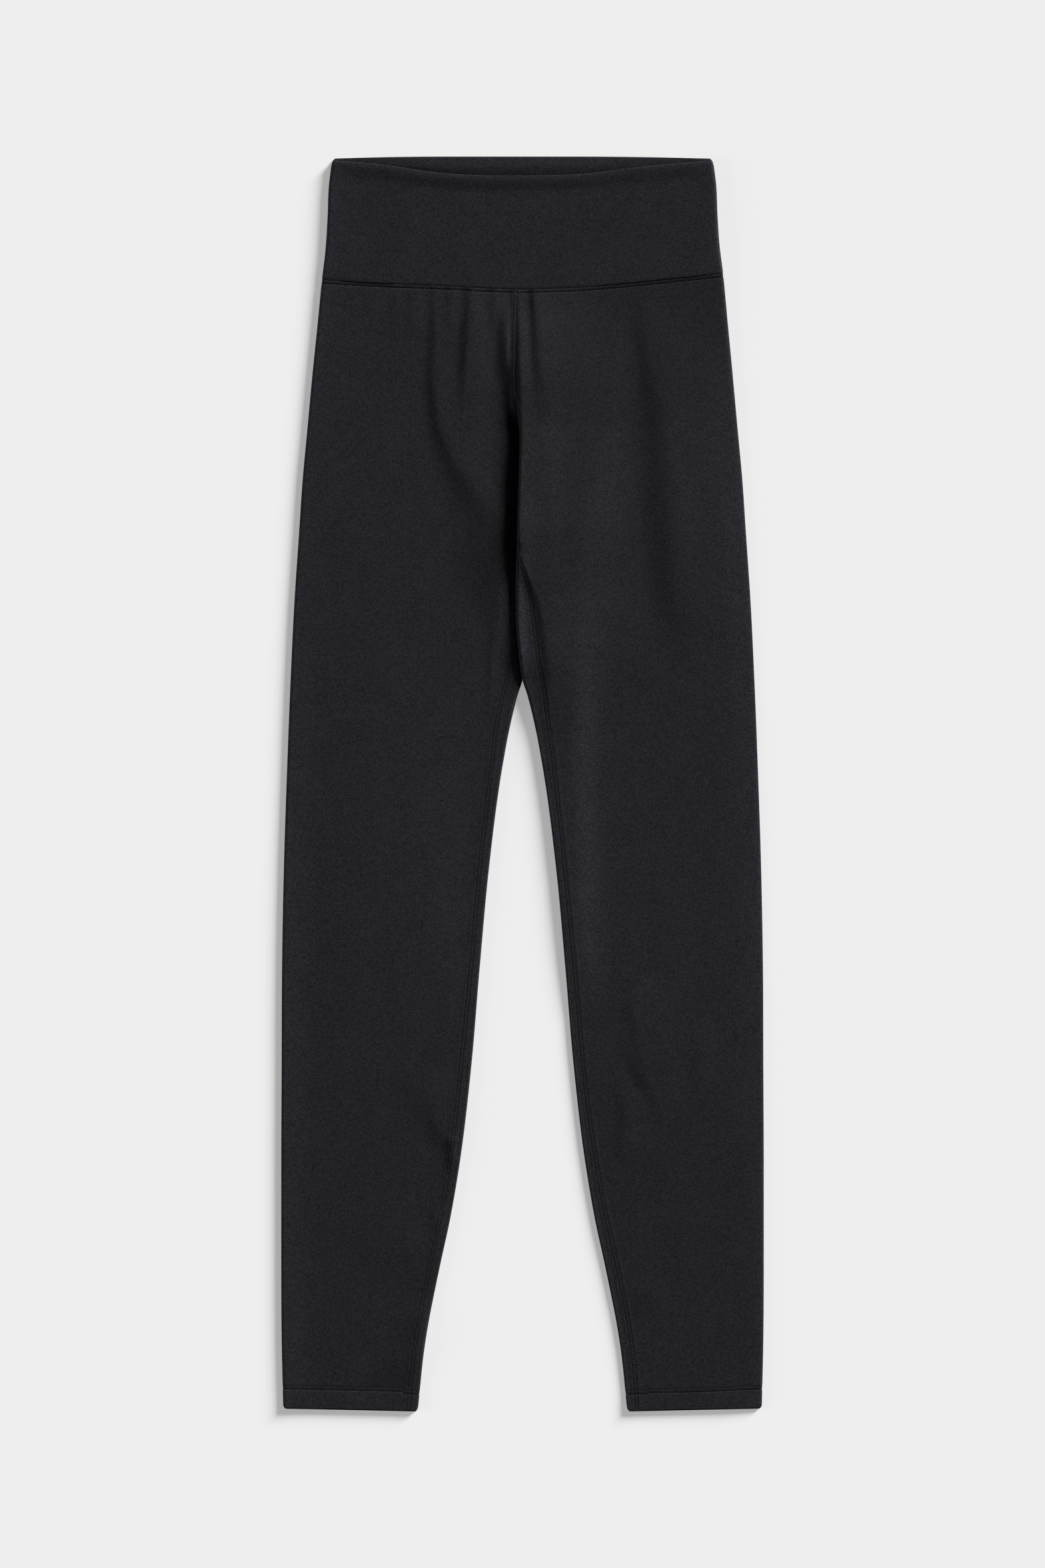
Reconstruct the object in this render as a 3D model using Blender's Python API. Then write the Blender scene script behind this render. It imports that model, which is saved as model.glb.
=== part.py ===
"""High-waisted full-length leggings, laid flat with the front upwards and the hems towards -Y.

Each leg is one cut panel. It runs from the centre-front seam round the outer side to the
centre-back seam, and below the crotch its two long edges meet along the inseam, which is
rolled a little way onto the front. The waistband is a tube of cloth folded double along
its top edge, with a scooped front. All sizes below are millimetres.
"""

import bpy
import numpy as np

MM = 0.001

# Cloth
LEG_WALL = 1.1
HEM_WALL = 1.9
BAND_WALL = 2.0
SEAM_GAP = 0.3
SEAM_RIDGE_HEIGHT = 0.35

# Levels along the length, measured from the middle of the garment
CROTCH_Y = 184.0
SPLIT_Y = 78.0
FOLD_START_Y = 292.0
FOLD_FULL_Y = 262.0
BAND_SEAM_Y = 382.0
HEM_STITCH_Y = -459.5
HEM_Y = -474.0
HEM_SKEW = 2.2

# Heights of the folded cloth
SIDE_FOLD_HEIGHT = 5.2
SIDE_FOLD_SPREAD = 11.0
INNER_FOLD_HEIGHT = 4.8
CROTCH_RIDGE_HEIGHT = 6.1
RIDGE_START_Y = 40.0
RIDGE_FULL_Y = 140.0
LEG_RIDGE_SPREAD = 9.0
CROTCH_RIDGE_SPREAD = 25.0
UNDERSIDE = 1.0

# The low cloth of the wearer's right, beside the lapping fold
VALLEY_START_Y = 109.0
VALLEY_HEIGHT = 2.5
VALLEY_FLAT = 4.0
VALLEY_SPREAD = 9.0
LEG_EDGE_HEIGHT = 3.2
LEG_EDGE_TURN = 6.0

# The rolled edge of the lapping fold, and how far the other leg's edge is tucked under it
CREST_OFFSET = 2.5
NOSE_RADIUS = 1.6
NOSE_LOW = 2.9
NOSE_BLEND = 4.0
OPEN_NOSE = 0.9
LEAST_TURN = 0.02
TUCK = 1.6
TUCK_TURN = 6.0
CROTCH_TURN = 14.0

# The back: how much of it beside its seam has the closer columns, and where its seam shifts sideways
INNER_LEAD = 1.5
OPEN_INNER_LEAD = 14.0
BACK_SHIFT_Y = 244.0

# Half widths of the garment and of the gap between the legs
OUTLINE = {
    "y": (382, 350, 310, 270, 230, 190, 140, 79, 13, -63, -139, -215, -290, -366, -427, -474),
    "side": (
        152.2, 155.3, 159.4, 163.1, 166.8, 169.5, 172.9, 175.9,
        178.5, 181.0, 182.4, 182.7, 183.0, 183.0, 182.6, 181.5,
    ),
}
LEG_GAP = {
    "y": (78, 76, 71, 58, 43, 13, -63, -139, -215, -290, -331, -366, -427, -474),
    "inner": (0.15, 0.7, 2.5, 6.1, 9.6, 15.2, 25.3, 32.4, 38.9, 48.0, 55.1, 62.7, 74.3, 79.4),
}

# The centre line of the front: the seam down to the fold, then the edge of the lapping fold
CENTRE_FRONT = {
    "y": (382, 350, 321, 289, 275, 262, 220, 184, 160, 143, 119, 101, 81, 78),
    "x": (-5.2, -6.0, -6.4, -5.0, -3.2, -2.2, -3.3, -4.3, -5.1, -5.5, -4.6, -2.8, -0.5, 0.0),
}

# How far each inseam lies from the inmost point of its leg's inner fold, along the cloth of the front
INSEAM = {
    "y": (184, 178, 167, 152, 131, 107, 97, 89, 81, 60, 13, -63, -139, -215, -290, -366, -427, -474),
    "wearer_left": (
        -1.5, 1.5, 6.5, 12.1, 15.4, 17.3, 17.4, 17.4, 17.3, 13.7, 9.9, 8.1, 8.0, 7.8, 9.0, 9.7, 9.3, 8.4,
    ),
    "wearer_right": (
        -0.6, -0.5, -0.2, 0.4, 1.5, 3.5, 8.3, 12.1, 14.1, 12.6, 9.5, 8.1, 7.7, 9.0, 8.8, 8.7, 8.9, 8.3,
    ),
}

# Height of the front above the surface, half way across a leg
FRONT_HEIGHT = {
    "y": (382, 330, 230, 150, 79, -63, -300, -450, -462, -474),
    "height": (5.0, 4.7, 4.7, 4.3, 3.9, 3.5, 3.4, 3.5, 4.4, 4.4),
}

# Waistband: its seam to the legs and its top edge, across the width
BAND = {
    "x": (-152, -110, -60, -5, 45, 100, 152),
    "front_seam": (382.0, 379.5, 377.5, 375.0, 376.5, 381.5, 387.0),
    "front_top": (473.0, 470.0, 463.0, 461.2, 462.5, 469.0, 473.0),
    "back_seam": (382.0, 382.5, 383.0, 383.5, 384.0, 385.5, 387.0),
    "back_top": (473.5, 474.6, 475.0, 475.0, 475.0, 474.6, 473.5),
}
BAND_SIDE = {"share": (0.0, 0.25, 0.5, 0.8, 1.0), "x": (152.2, 149.5, 148.0, 146.8, 144.6)}
BAND_PROFILE = {
    "share": (0.0, 0.06, 0.2, 0.6, 0.84, 0.95, 1.0),
    "front": (4.7, 5.1, 5.0, 5.0, 4.7, 5.6, 5.4),
    "side": (5.4, 5.6, 5.8, 5.8, 5.6, 5.8, 5.6),
}
BAND_ROWS = (0.0, 0.06, 0.2, 0.4, 0.6, 0.75, 0.86, 0.95, 1.0)
BAND_FRONT_COLUMNS = 24
BAND_SIDE_COLUMNS = 6
BAND_BACK_COLUMNS = 8
BAND_SIDE_SPREAD = 12.0
BAND_EDGE_TURNS = (45, 90, 135)

# Largest folds of the front: depth (troughs below zero), half width and path
FOLDS = (
    {"depth": -1.6, "half_width": 5.0, "path": ((-13, 372), (-16, 335), (-14, 300), (-10, 268))},
    {"depth": -1.0, "half_width": 4.5, "path": ((-43, 370), (-45, 326), (-46, 300))},
    {"depth": -1.4, "half_width": 5.5, "path": ((-69, 365), (-70, 300), (-65, 266), (-45, 220), (-32, 195))},
    {"depth": -1.0, "half_width": 4.5, "path": ((9, 370), (10, 335), (12, 295))},
    {"depth": -1.4, "half_width": 7.0, "path": ((84, 360), (93, 291), (104, 230), (105, 165), (114, 114))},
    {"depth": 0.6, "half_width": 9.0, "path": ((69, 300), (54, 230), (49, 190))},
    {"depth": 1.1, "half_width": 10.0, "path": ((46, 150), (42, 40), (40, -20), (43, -115))},
    {"depth": 0.8, "half_width": 18.0, "path": ((-93, 10), (-88, -63), (-82, -130))},
    {"depth": -0.6, "half_width": 6.0, "path": ((81, -159), (89, -204), (102, -245))},
    {"depth": -0.6, "half_width": 6.0, "path": ((-78, -240), (-54, -283))},
)
FOLD_FADE = 18.0

# Rows down a leg and columns round it
ROW_LEVELS = (
    (BAND_SEAM_Y, 292.0, 6),
    (292.0, 248.0, 5),
    (248.0, 192.0, 4),
    (192.0, 150.0, 8),
    (150.0, 76.0, 6),
    (76.0, 43.0, 3),
    (43.0, -445.0, 13),
    (-445.0, HEM_STITCH_Y - 2.5, 2),
    (HEM_STITCH_Y - 2.5, HEM_Y, 1),
)
SEAM_COLUMNS = (0.0, 1.5, 2.9, 5.4, 9.0, 14.0)
SEAM_RIDGE_EDGE = (2.9, 5.4)
HIDDEN_SEAM_TOP_Y = 276.0
HIDDEN_SEAM_FOOT_Y = 174.0
FRONT_COLUMNS = 18
SIDE_COLUMNS = 5
BACK_COLUMNS = 4
INNER_COLUMNS = 8

# Points along each part of a leg's section
LEAD_POINTS = 17
FRONT_POINTS = 90
SIDE_POINTS = 15
BACK_POINTS = 20
RETURN_POINTS = 40

# Where the rows begin to follow the band seam and the hem
BAND_FOLLOW_Y = 292.0
HEM_FOLLOW_Y = -399.5

KNIT_COLOUR = (0.016, 0.016, 0.019)
KNIT_ROUGHNESS = 0.85
SHARP_ANGLE = 50


def along(table, column, at):
    """Smooth value of a table's column at a level, by cubic segments with shared slopes."""
    xs = np.array(table[tuple(table)[0]], float)
    ys = np.array(table[column], float)
    if xs[0] > xs[-1]:
        xs, ys = xs[::-1], ys[::-1]
    at = np.clip(np.asarray(at, float), xs[0], xs[-1])
    steps = np.diff(xs)
    rises = np.diff(ys) / steps
    slopes = np.empty_like(ys)
    slopes[0], slopes[-1] = rises[0], rises[-1]
    slopes[1:-1] = (rises[:-1] * steps[1:] + rises[1:] * steps[:-1]) / (steps[:-1] + steps[1:])
    slopes[1:-1][rises[:-1] * rises[1:] <= 0] = 0
    i = np.clip(np.searchsorted(xs, at, side="right") - 1, 0, len(steps) - 1)
    t = (at - xs[i]) / steps[i]
    return (
        ys[i] * (1 + 2 * t) * (1 - t) ** 2
        + slopes[i] * steps[i] * t * (1 - t) ** 2
        + ys[i + 1] * t * t * (3 - 2 * t)
        + slopes[i + 1] * steps[i] * t * t * (t - 1)
    )


def ease(value, start, end):
    """0 at start and 1 at end, with level ends."""
    t = np.clip((value - start) / (end - start), 0, 1)
    return t * t * (3 - 2 * t)


def bell(distance, half_width):
    return np.exp(-((distance / half_width) ** 2))


def fold_offset(x, y):
    """What the named folds add to the height of the front at a point."""
    total = np.zeros_like(x)
    for fold in FOLDS:
        path = np.array(fold["path"], float)
        lowest, highest = path[-1, 1], path[0, 1]
        across = x - np.interp(y, path[::-1, 1], path[::-1, 0])
        lower_end = ease(y, lowest - FOLD_FADE, lowest + FOLD_FADE)
        upper_end = ease(y, highest + FOLD_FADE, highest - FOLD_FADE)
        total += fold["depth"] * bell(across, fold["half_width"]) * lower_end * upper_end
    return total


def folded_under(y):
    """0 where the centre-front seam lies on top, 1 where it has rolled under the lapping fold."""
    return ease(y, FOLD_START_Y, FOLD_FULL_Y)


def centre_edge(side, y):
    """Distance from the middle of a leg's inner fold, or of its centre-front edge above the crotch."""
    if y <= SPLIT_Y:
        return float(along(LEG_GAP, "inner", y))
    edge = side * float(along(CENTRE_FRONT, "x", y)) + SEAM_GAP / 2
    if side < 0 and y > CROTCH_Y:
        tucked = ease(y, FOLD_FULL_Y + TUCK_TURN, FOLD_FULL_Y - TUCK_TURN)
        tucked *= ease(y, CROTCH_Y, CROTCH_Y + CROTCH_TURN)
        edge -= TUCK * tucked
    return edge


def ridge_height(side, y):
    """Height of the cloth right beside the centre line of the front, or at the inner fold."""
    if side < 0:
        return INNER_FOLD_HEIGHT
    lapped = ease(y, RIDGE_START_Y, CROTCH_Y) * folded_under(y)
    return INNER_FOLD_HEIGHT + (CROTCH_RIDGE_HEIGHT - INNER_FOLD_HEIGHT) * lapped


def front_height(side, outward, y, near):
    """Height of the front at distances outward from the middle, where near is the centre edge."""
    middle = float(along(FRONT_HEIGHT, "height", y))
    side_x = float(along(OUTLINE, "side", y))
    height = middle + (SIDE_FOLD_HEIGHT - middle) * bell(side_x - outward, SIDE_FOLD_SPREAD)
    folded = folded_under(y)
    valley = ease(y, VALLEY_START_Y, CROTCH_Y) * folded if side < 0 else 0.0
    widening = ease(y, RIDGE_START_Y, RIDGE_FULL_Y)
    spread = LEG_RIDGE_SPREAD + (CROTCH_RIDGE_SPREAD - LEG_RIDGE_SPREAD) * widening
    height += (ridge_height(side, y) - middle) * bell(outward - near, spread) * folded * (1 - valley)
    height += fold_offset(side * outward, np.full_like(outward, y))
    floor = VALLEY_HEIGHT + (LEG_EDGE_HEIGHT - VALLEY_HEIGHT) * ease(y, CROTCH_Y + LEG_EDGE_TURN, CROTCH_Y)
    height -= valley * (height - floor) * bell(np.maximum(outward - near - VALLEY_FLAT, 0), VALLEY_SPREAD)
    return np.maximum(height, VALLEY_HEIGHT)


def arc(centre, radius, start, end, count):
    """Points of an upright arc in the plane of a section, by angle in degrees."""
    turn = np.radians(np.linspace(start, end, count))
    return np.column_stack((centre[0] + radius * np.cos(turn), centre[1] + radius * np.sin(turn)))


def lengths_along(points):
    return np.concatenate(([0], np.cumsum(np.linalg.norm(np.diff(points, axis=0), axis=1))))


def section(side, y, inseam):
    """Outer line of a leg's section at a level, from its front edge round the side to its back edge.

    It starts at the centre-front seam and ends at the centre-back seam, and below the crotch
    both ends lie at the inseam. Returns its (outward, height) points, the length along it at
    each, and the lengths at which it starts, reaches the side fold, the back and the inner
    part, and ends.
    """
    near = centre_edge(side, y)
    side_x = float(along(OUTLINE, "side", y))
    half = SIDE_FOLD_HEIGHT / 2
    closed = y < CROTCH_Y
    top = float(front_height(side, np.array([near + CREST_OFFSET]), y, near)[0])
    radius = top / 2
    if side > 0 and not closed:
        radius = (top - NOSE_LOW) / 2 if folded_under(y) > OPEN_NOSE else NOSE_RADIUS
    turned = closed or (side > 0 and folded_under(y) > LEAST_TURN)
    if turned:
        least = 270.0 if closed else 90 + 180 * folded_under(y)
        lead = arc((near + radius, top - radius), radius, least, 90, LEAD_POINTS)
        front_start = near + radius
    else:
        lead = np.array([[near, front_height(side, np.array([near]), y, near)[0]]])
        front_start = near
    outward = np.linspace(front_start, side_x - half, FRONT_POINTS)[1:]
    front = np.column_stack((outward, front_height(side, outward, y, near)))
    blend = ease(outward, front_start + NOSE_BLEND, front_start)
    front[:, 1] += (lead[-1, 1] - front[:, 1]) * blend
    side_turn = arc((side_x - half, half), half, 90, -90, SIDE_POINTS)[1:]
    if closed:
        back_edge = near + radius
        inner_turn = arc((near + radius, radius), radius, 270, 90, LEAD_POINTS)
        ending = np.vstack((inner_turn, front[:RETURN_POINTS]))
    else:
        shift = side * float(along(CENTRE_FRONT, "x", CROTCH_Y)) * ease(y, BACK_SHIFT_Y, CROTCH_Y)
        back_edge = SEAM_GAP / 2 + shift
        ending = np.array([[back_edge, 0.0]])
    inner_part = INNER_LEAD if closed else OPEN_INNER_LEAD
    back_outward = np.linspace(side_x - half, back_edge + inner_part, BACK_POINTS)[1:]
    back = np.column_stack((back_outward, np.zeros_like(back_outward)))
    points = np.vstack((lead, front, side_turn, back, ending))
    lengths = lengths_along(points)
    to_side = len(lead) + len(front) - 1
    to_back = to_side + len(side_turn)
    to_inner = to_back + len(back)
    if closed:
        turn_length = lengths[LEAD_POINTS - 1]
        begin = turn_length / 2 + float(along(INSEAM, inseam, y)) + SEAM_GAP / 2
        finish = begin + lengths[to_inner + LEAD_POINTS] - turn_length - SEAM_GAP
    else:
        begin, finish = 0.0, lengths[-1]
    return points, lengths, (begin, lengths[to_side], lengths[to_back], lengths[to_inner], finish)


def leg_rows():
    levels = [BAND_SEAM_Y]
    for start, end, count in ROW_LEVELS:
        levels.extend(np.linspace(start, end, count + 1)[1:])
    return levels


def leg_panel(side, name, inseam, material):
    """One leg's wall, as a grid of rows down the leg and columns round it."""
    rows, walls = [], []
    for y in leg_rows():
        points, lengths, (begin, to_side, to_back, to_inner, finish) = section(side, y, inseam)
        seam = np.array(SEAM_COLUMNS)
        stations = np.concatenate((
            begin + seam,
            np.linspace(begin + seam[-1], to_side, FRONT_COLUMNS + 1)[1:],
            np.linspace(to_side, to_back, SIDE_COLUMNS + 1)[1:],
            np.linspace(to_back, to_inner, BACK_COLUMNS + 1)[1:],
            np.linspace(to_inner, finish - seam[1], INNER_COLUMNS)[1:],
            [finish],
        ))
        across = np.interp(stations, lengths, points[:, 0])
        height = np.interp(stations, lengths, points[:, 1])
        level = y + level_shift(side * across, height, y)
        rows.append(np.column_stack((side * across, level, height)))
        walls.append(np.full(len(stations), HEM_WALL if y < HEM_STITCH_Y else LEG_WALL))
    outer = np.array(rows)
    from_edge = np.full(outer.shape[1], SEAM_COLUMNS[-1])
    from_edge[:len(SEAM_COLUMNS)] = SEAM_COLUMNS
    from_edge[-3:] = (SEAM_COLUMNS[2], SEAM_COLUMNS[1], 0.0)
    ridge = SEAM_RIDGE_HEIGHT * ease(from_edge, SEAM_RIDGE_EDGE[1], SEAM_RIDGE_EDGE[0])
    levels = np.array(leg_rows())
    in_sight = np.where((levels > HIDDEN_SEAM_FOOT_Y) & (levels < HIDDEN_SEAM_TOP_Y), 0.0, 1.0)
    raised = in_sight[:, None] * ridge[None, :] * (outer[:, :, 2] > UNDERSIDE)
    tube = levels < CROTCH_Y
    inwards = grid_normals(outer, tube) * side
    outer = outer - inwards * raised[:, :, None]
    return wall_body(name, outer, inwards, np.array(walls) + raised, side, material)


def level_shift(x, height, y):
    """How far a point of a row lies above its level: the rows follow the band seam and the hem."""
    upper = ease(y, BAND_FOLLOW_Y, BAND_SEAM_Y)
    front_share = np.clip(height / SIDE_FOLD_HEIGHT, 0, 1)
    seam = along(BAND, "back_seam", x) * (1 - front_share) + along(BAND, "front_seam", x) * front_share
    lower = ease(y, HEM_FOLLOW_Y, HEM_STITCH_Y)
    hem_inner, hem_side = LEG_GAP["inner"][-1], OUTLINE["side"][-1]
    outward = (np.abs(x) - hem_inner) / (hem_side - hem_inner)
    return upper * (seam - SEAM_GAP - BAND_SEAM_Y) + lower * HEM_SKEW * (outward - 0.5)


def grid_normals(grid, ringed):
    """Unit normals of a grid of points. In the rows that are ringed, the two ends share one."""
    down = np.gradient(grid, axis=0)
    across = np.gradient(grid, axis=1, edge_order=2)
    across[ringed, 0] = across[ringed, -1] = grid[ringed, 1] - grid[ringed, -2]
    normal = np.cross(across, down)
    return normal / np.linalg.norm(normal, axis=2, keepdims=True)


def wall_body(name, outer, inwards, wall, side, material):
    """A closed wall between a grid of outer points and the same grid moved inwards by the wall."""
    inner = outer + inwards * wall[:, :, None]
    count_rows, count_columns = outer.shape[:2]
    points = np.concatenate((outer.reshape(-1, 3), inner.reshape(-1, 3)))
    size = count_rows * count_columns

    def at(row, column, layer):
        return layer * size + row * count_columns + column

    faces = []
    last = count_rows - 1
    end = count_columns - 1
    for row in range(last):
        for column in range(end):
            corners = [(row, column), (row + 1, column), (row + 1, column + 1), (row, column + 1)]
            faces.append([at(r, c, 0) for r, c in corners])
            faces.append([at(r, c, 1) for r, c in reversed(corners)])
    for a in range(end):
        b = a + 1
        faces.append([at(0, a, 0), at(0, b, 0), at(0, b, 1), at(0, a, 1)])
        faces.append([at(last, b, 0), at(last, a, 0), at(last, a, 1), at(last, b, 1)])
    for a in range(last):
        b = a + 1
        faces.append([at(b, 0, 0), at(a, 0, 0), at(a, 0, 1), at(b, 0, 1)])
        faces.append([at(a, end, 0), at(b, end, 0), at(b, end, 1), at(a, end, 1)])
    if side < 0:
        faces = [face[::-1] for face in faces]
    return add_body(name, points, faces, material)


def waistband(material):
    """The doubled band: a flattened tube whose top edge is the fold of the cloth."""
    rows = []
    for share in BAND_ROWS:
        side_x = float(along(BAND_SIDE, "x", share))
        half = float(along(BAND_PROFILE, "side", share)) / 2
        middle = float(along(BAND_PROFILE, "front", share))
        reach = np.linspace(-1, 1, BAND_FRONT_COLUMNS) * (side_x - half)
        front = np.column_stack((reach, np.full_like(reach, middle)))
        front[:, 1] += (2 * half - middle) * bell(side_x - np.abs(reach), BAND_SIDE_SPREAD)
        turn = arc((side_x - half, half), half, 90, -90, BAND_SIDE_COLUMNS)[1:-1]
        back_reach = np.linspace(1, -1, BAND_BACK_COLUMNS) * (side_x - half)
        back = np.column_stack((back_reach, np.zeros_like(back_reach)))
        ring = np.vstack((front, turn, back, turn[::-1] * (-1, 1)))
        level = band_level(ring[:, 0], ring[:, 1] / (2 * half), share)
        rows.append(np.column_stack((ring[:, 0], level, ring[:, 1])))
    outer = np.array(rows)[::-1]
    doubled = np.concatenate((outer[:, -1:], outer, outer[:, :1]), axis=1)
    inwards = grid_normals(doubled, np.zeros(len(outer), bool))[:, 1:-1]
    inner = outer + inwards * BAND_WALL
    centre = (outer[0] + inner[0]) / 2
    upwards = outer[0] - outer[1]
    upwards /= np.linalg.norm(upwards, axis=1, keepdims=True)
    edge = [
        centre + (inner[0] - centre) * np.cos(turn) + upwards * BAND_WALL / 2 * np.sin(turn)
        for turn in np.radians(BAND_EDGE_TURNS)
    ]
    grid = np.concatenate((inner[::-1], edge, outer))
    return ring_body("waistband", grid, material)


def band_level(x, front_share, share):
    """Level of a point of the band, by how far it lies towards the front and up the band."""
    seam = along(BAND, "back_seam", x) * (1 - front_share) + along(BAND, "front_seam", x) * front_share
    top = along(BAND, "back_top", x) * (1 - front_share) + along(BAND, "front_top", x) * front_share
    return seam + (top - BAND_WALL / 2 - seam) * share


def ring_body(name, grid, material):
    """A closed ring from a grid whose rows and columns both run round it."""
    count_rows, count_columns = grid.shape[:2]
    faces = []
    for row in range(count_rows):
        below = (row + 1) % count_rows
        for column in range(count_columns):
            beside = (column + 1) % count_columns
            faces.append([
                row * count_columns + column,
                below * count_columns + column,
                below * count_columns + beside,
                row * count_columns + beside,
            ])
    return add_body(name, grid.reshape(-1, 3), faces, material)


def add_body(name, points, faces, material):
    mesh = bpy.data.meshes.new(name)
    mesh.from_pydata((points * MM).tolist(), [], faces)
    mesh.shade_smooth()
    mesh.set_sharp_from_angle(angle=np.radians(SHARP_ANGLE))
    mesh.materials.append(material)
    body = bpy.data.objects.new(name, mesh)
    bpy.context.collection.objects.link(body)
    return body


def clear_scene():
    for old in list(bpy.data.objects):
        bpy.data.objects.remove(old, do_unlink=True)


def knit(name):
    made = bpy.data.materials.new(name)
    made.use_nodes = True
    shader = made.node_tree.nodes["Principled BSDF"]
    shader.inputs["Base Color"].default_value = (*KNIT_COLOUR, 1)
    shader.inputs["Roughness"].default_value = KNIT_ROUGHNESS
    shader.inputs["Metallic"].default_value = 0.0
    return made


def main():
    clear_scene()
    leg_panel(-1, "leg_wearer_right", "wearer_right", knit("right_leg_knit"))
    leg_panel(1, "leg_wearer_left", "wearer_left", knit("left_leg_knit"))
    waistband(knit("waistband_knit"))


main()
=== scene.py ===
"""High-waisted black leggings laid flat: thin creased cloth, seams and stitching over the CAD solids.

Lengths in the tables are millimetres in the row's frame, with the front upwards and the hems towards -Y.
A leg's side is -1 for the wearer's right, which is on the left of the picture, and 1 for the wearer's left.
"""

import math

import bpy
import numpy as np
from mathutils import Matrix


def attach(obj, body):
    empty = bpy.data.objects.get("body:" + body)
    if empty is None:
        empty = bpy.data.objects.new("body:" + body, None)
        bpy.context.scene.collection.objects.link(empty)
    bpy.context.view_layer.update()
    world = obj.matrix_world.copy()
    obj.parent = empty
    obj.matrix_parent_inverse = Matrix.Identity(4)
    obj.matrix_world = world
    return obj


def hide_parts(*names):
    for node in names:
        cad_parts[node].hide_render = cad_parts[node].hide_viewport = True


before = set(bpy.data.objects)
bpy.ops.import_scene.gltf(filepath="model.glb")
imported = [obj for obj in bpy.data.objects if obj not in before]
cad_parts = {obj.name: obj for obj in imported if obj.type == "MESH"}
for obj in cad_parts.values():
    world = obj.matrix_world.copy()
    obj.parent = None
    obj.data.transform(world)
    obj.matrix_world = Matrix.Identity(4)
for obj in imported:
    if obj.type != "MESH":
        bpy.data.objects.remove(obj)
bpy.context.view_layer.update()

MM = 0.001
SIDE_NAME = {-1: "wearer_right", 1: "wearer_left"}

# Thickness of the cloth
LEG_CLOTH = 0.8
HEM_CLOTH = 1.5
BAND_CLOTH = 1.8

# Levels along the length, measured from the middle of the garment
CROTCH_Y = 184.0
SPLIT_Y = 78.0
FOLD_START_Y = 294.0
FOLD_FULL_Y = 266.0
BAND_SEAM_Y = 382.0
BACK_SHIFT_Y = 244.0
HEM_STITCH_Y = -459.5
HEM_Y = -474.6

# How the rows of a leg slant to follow the band seam and the hem, and over what length they come to it
BAND_SLANT_LENGTH = 90.0
HEM_SLANT_LENGTH = 60.0
HEM_SKEW = 2.2
HEM_INNER_X = 79.0
HEM_WIDTH = 103.0

# The rounded fold down each side, how far beside it the front slopes to it, and where creases fade out
SIDE_FOLD_REACH = 2.6
SIDE_RISE = 14.0
SIDE_FADE = 60.0

# What lies above this height is the front's, and at the front's level a point is wholly on it
FRONT_FLOOR = 1.0
FRONT_LEVEL = 3.6

# Share of their stated heights that the creases keep
CREASE_RELIEF = 0.72

# The gap at each seam between two edges of cloth
SEAM_GAP = 0.04

# Half widths of the garment and of the gap between the legs
OUTLINE = {
    "y": (382, 350, 310, 270, 230, 190, 140, 79, 13, -63, -139, -215, -290, -366, -427, -474),
    "side": (152.2, 155.3, 159.4, 163.1, 166.8, 169.5, 172.9, 175.9, 178.5, 181, 182.4, 182.7, 183, 183,
             182.6, 181.5),
}
LEG_GAP = {
    "y": (78, 76, 71, 58, 43, 13, -63, -139, -215, -290, -331, -366, -427, -474),
    "inner": (0.1, 0.7, 2.5, 6.1, 9.6, 15.2, 25.3, 32.4, 38.9, 48, 55.1, 62.7, 74.3, 79.4),
}

# The centre line of the front: the seam down to the fold, then the edge of the lapping fold
CENTRE_FRONT = {
    "y": (382, 350, 321, 289, 275, 262, 220, 184, 160, 143, 119, 101, 81, 78),
    "x": (-5.2, -6, -6.4, -5, -3.2, -2.2, -3.3, -4.3, -5.1, -5.5, -4.8, -3.2, -0.6, 0),
}

# How far each inseam lies from the inmost point of its leg's inner fold, along the cloth of the front
INSEAM = {
    "y": (184, 178, 167, 152, 131, 107, 97, 89, 81, 76, 60, 13, -63, -139, -215, -290, -366, -427, -474),
    "wearer_left": (-7, 1.5, 6.5, 12.1, 15.4, 17.3, 17.4, 17.4, 17.3, 16.6, 13.7, 9.9, 8.1, 8, 7.8, 9, 9.7,
                    9.3, 8.4),
    "wearer_right": (-0.6, -0.5, -0.2, 0.4, 1.5, 3.5, 8.3, 10.9, 12.6, 13.2, 12.6, 9.5, 8.1, 7.7, 9, 8.8,
                     8.7, 8.9, 8.3),
}

# Height of the front above the surface, half way across a leg
FRONT_HEIGHT = {
    "y": (382, 376, 360, 330, 230, 150, 79, -63, -300, -450, -458, -462, -474),
    "height": (4.1, 4.05, 4, 4, 4, 3.7, 3.2, 2.7, 2.6, 2.4, 2.5, 2.7, 3.1),
}

# Height of the rounded fold down each side
SIDE_HEIGHT = {
    "y": (382, 330, 230, -474),
    "wearer_right": (4.6, 4.3, 4.1, 3.8),
    "wearer_left": (4.5, 3.4, 2.6, 2.4),
}

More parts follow.
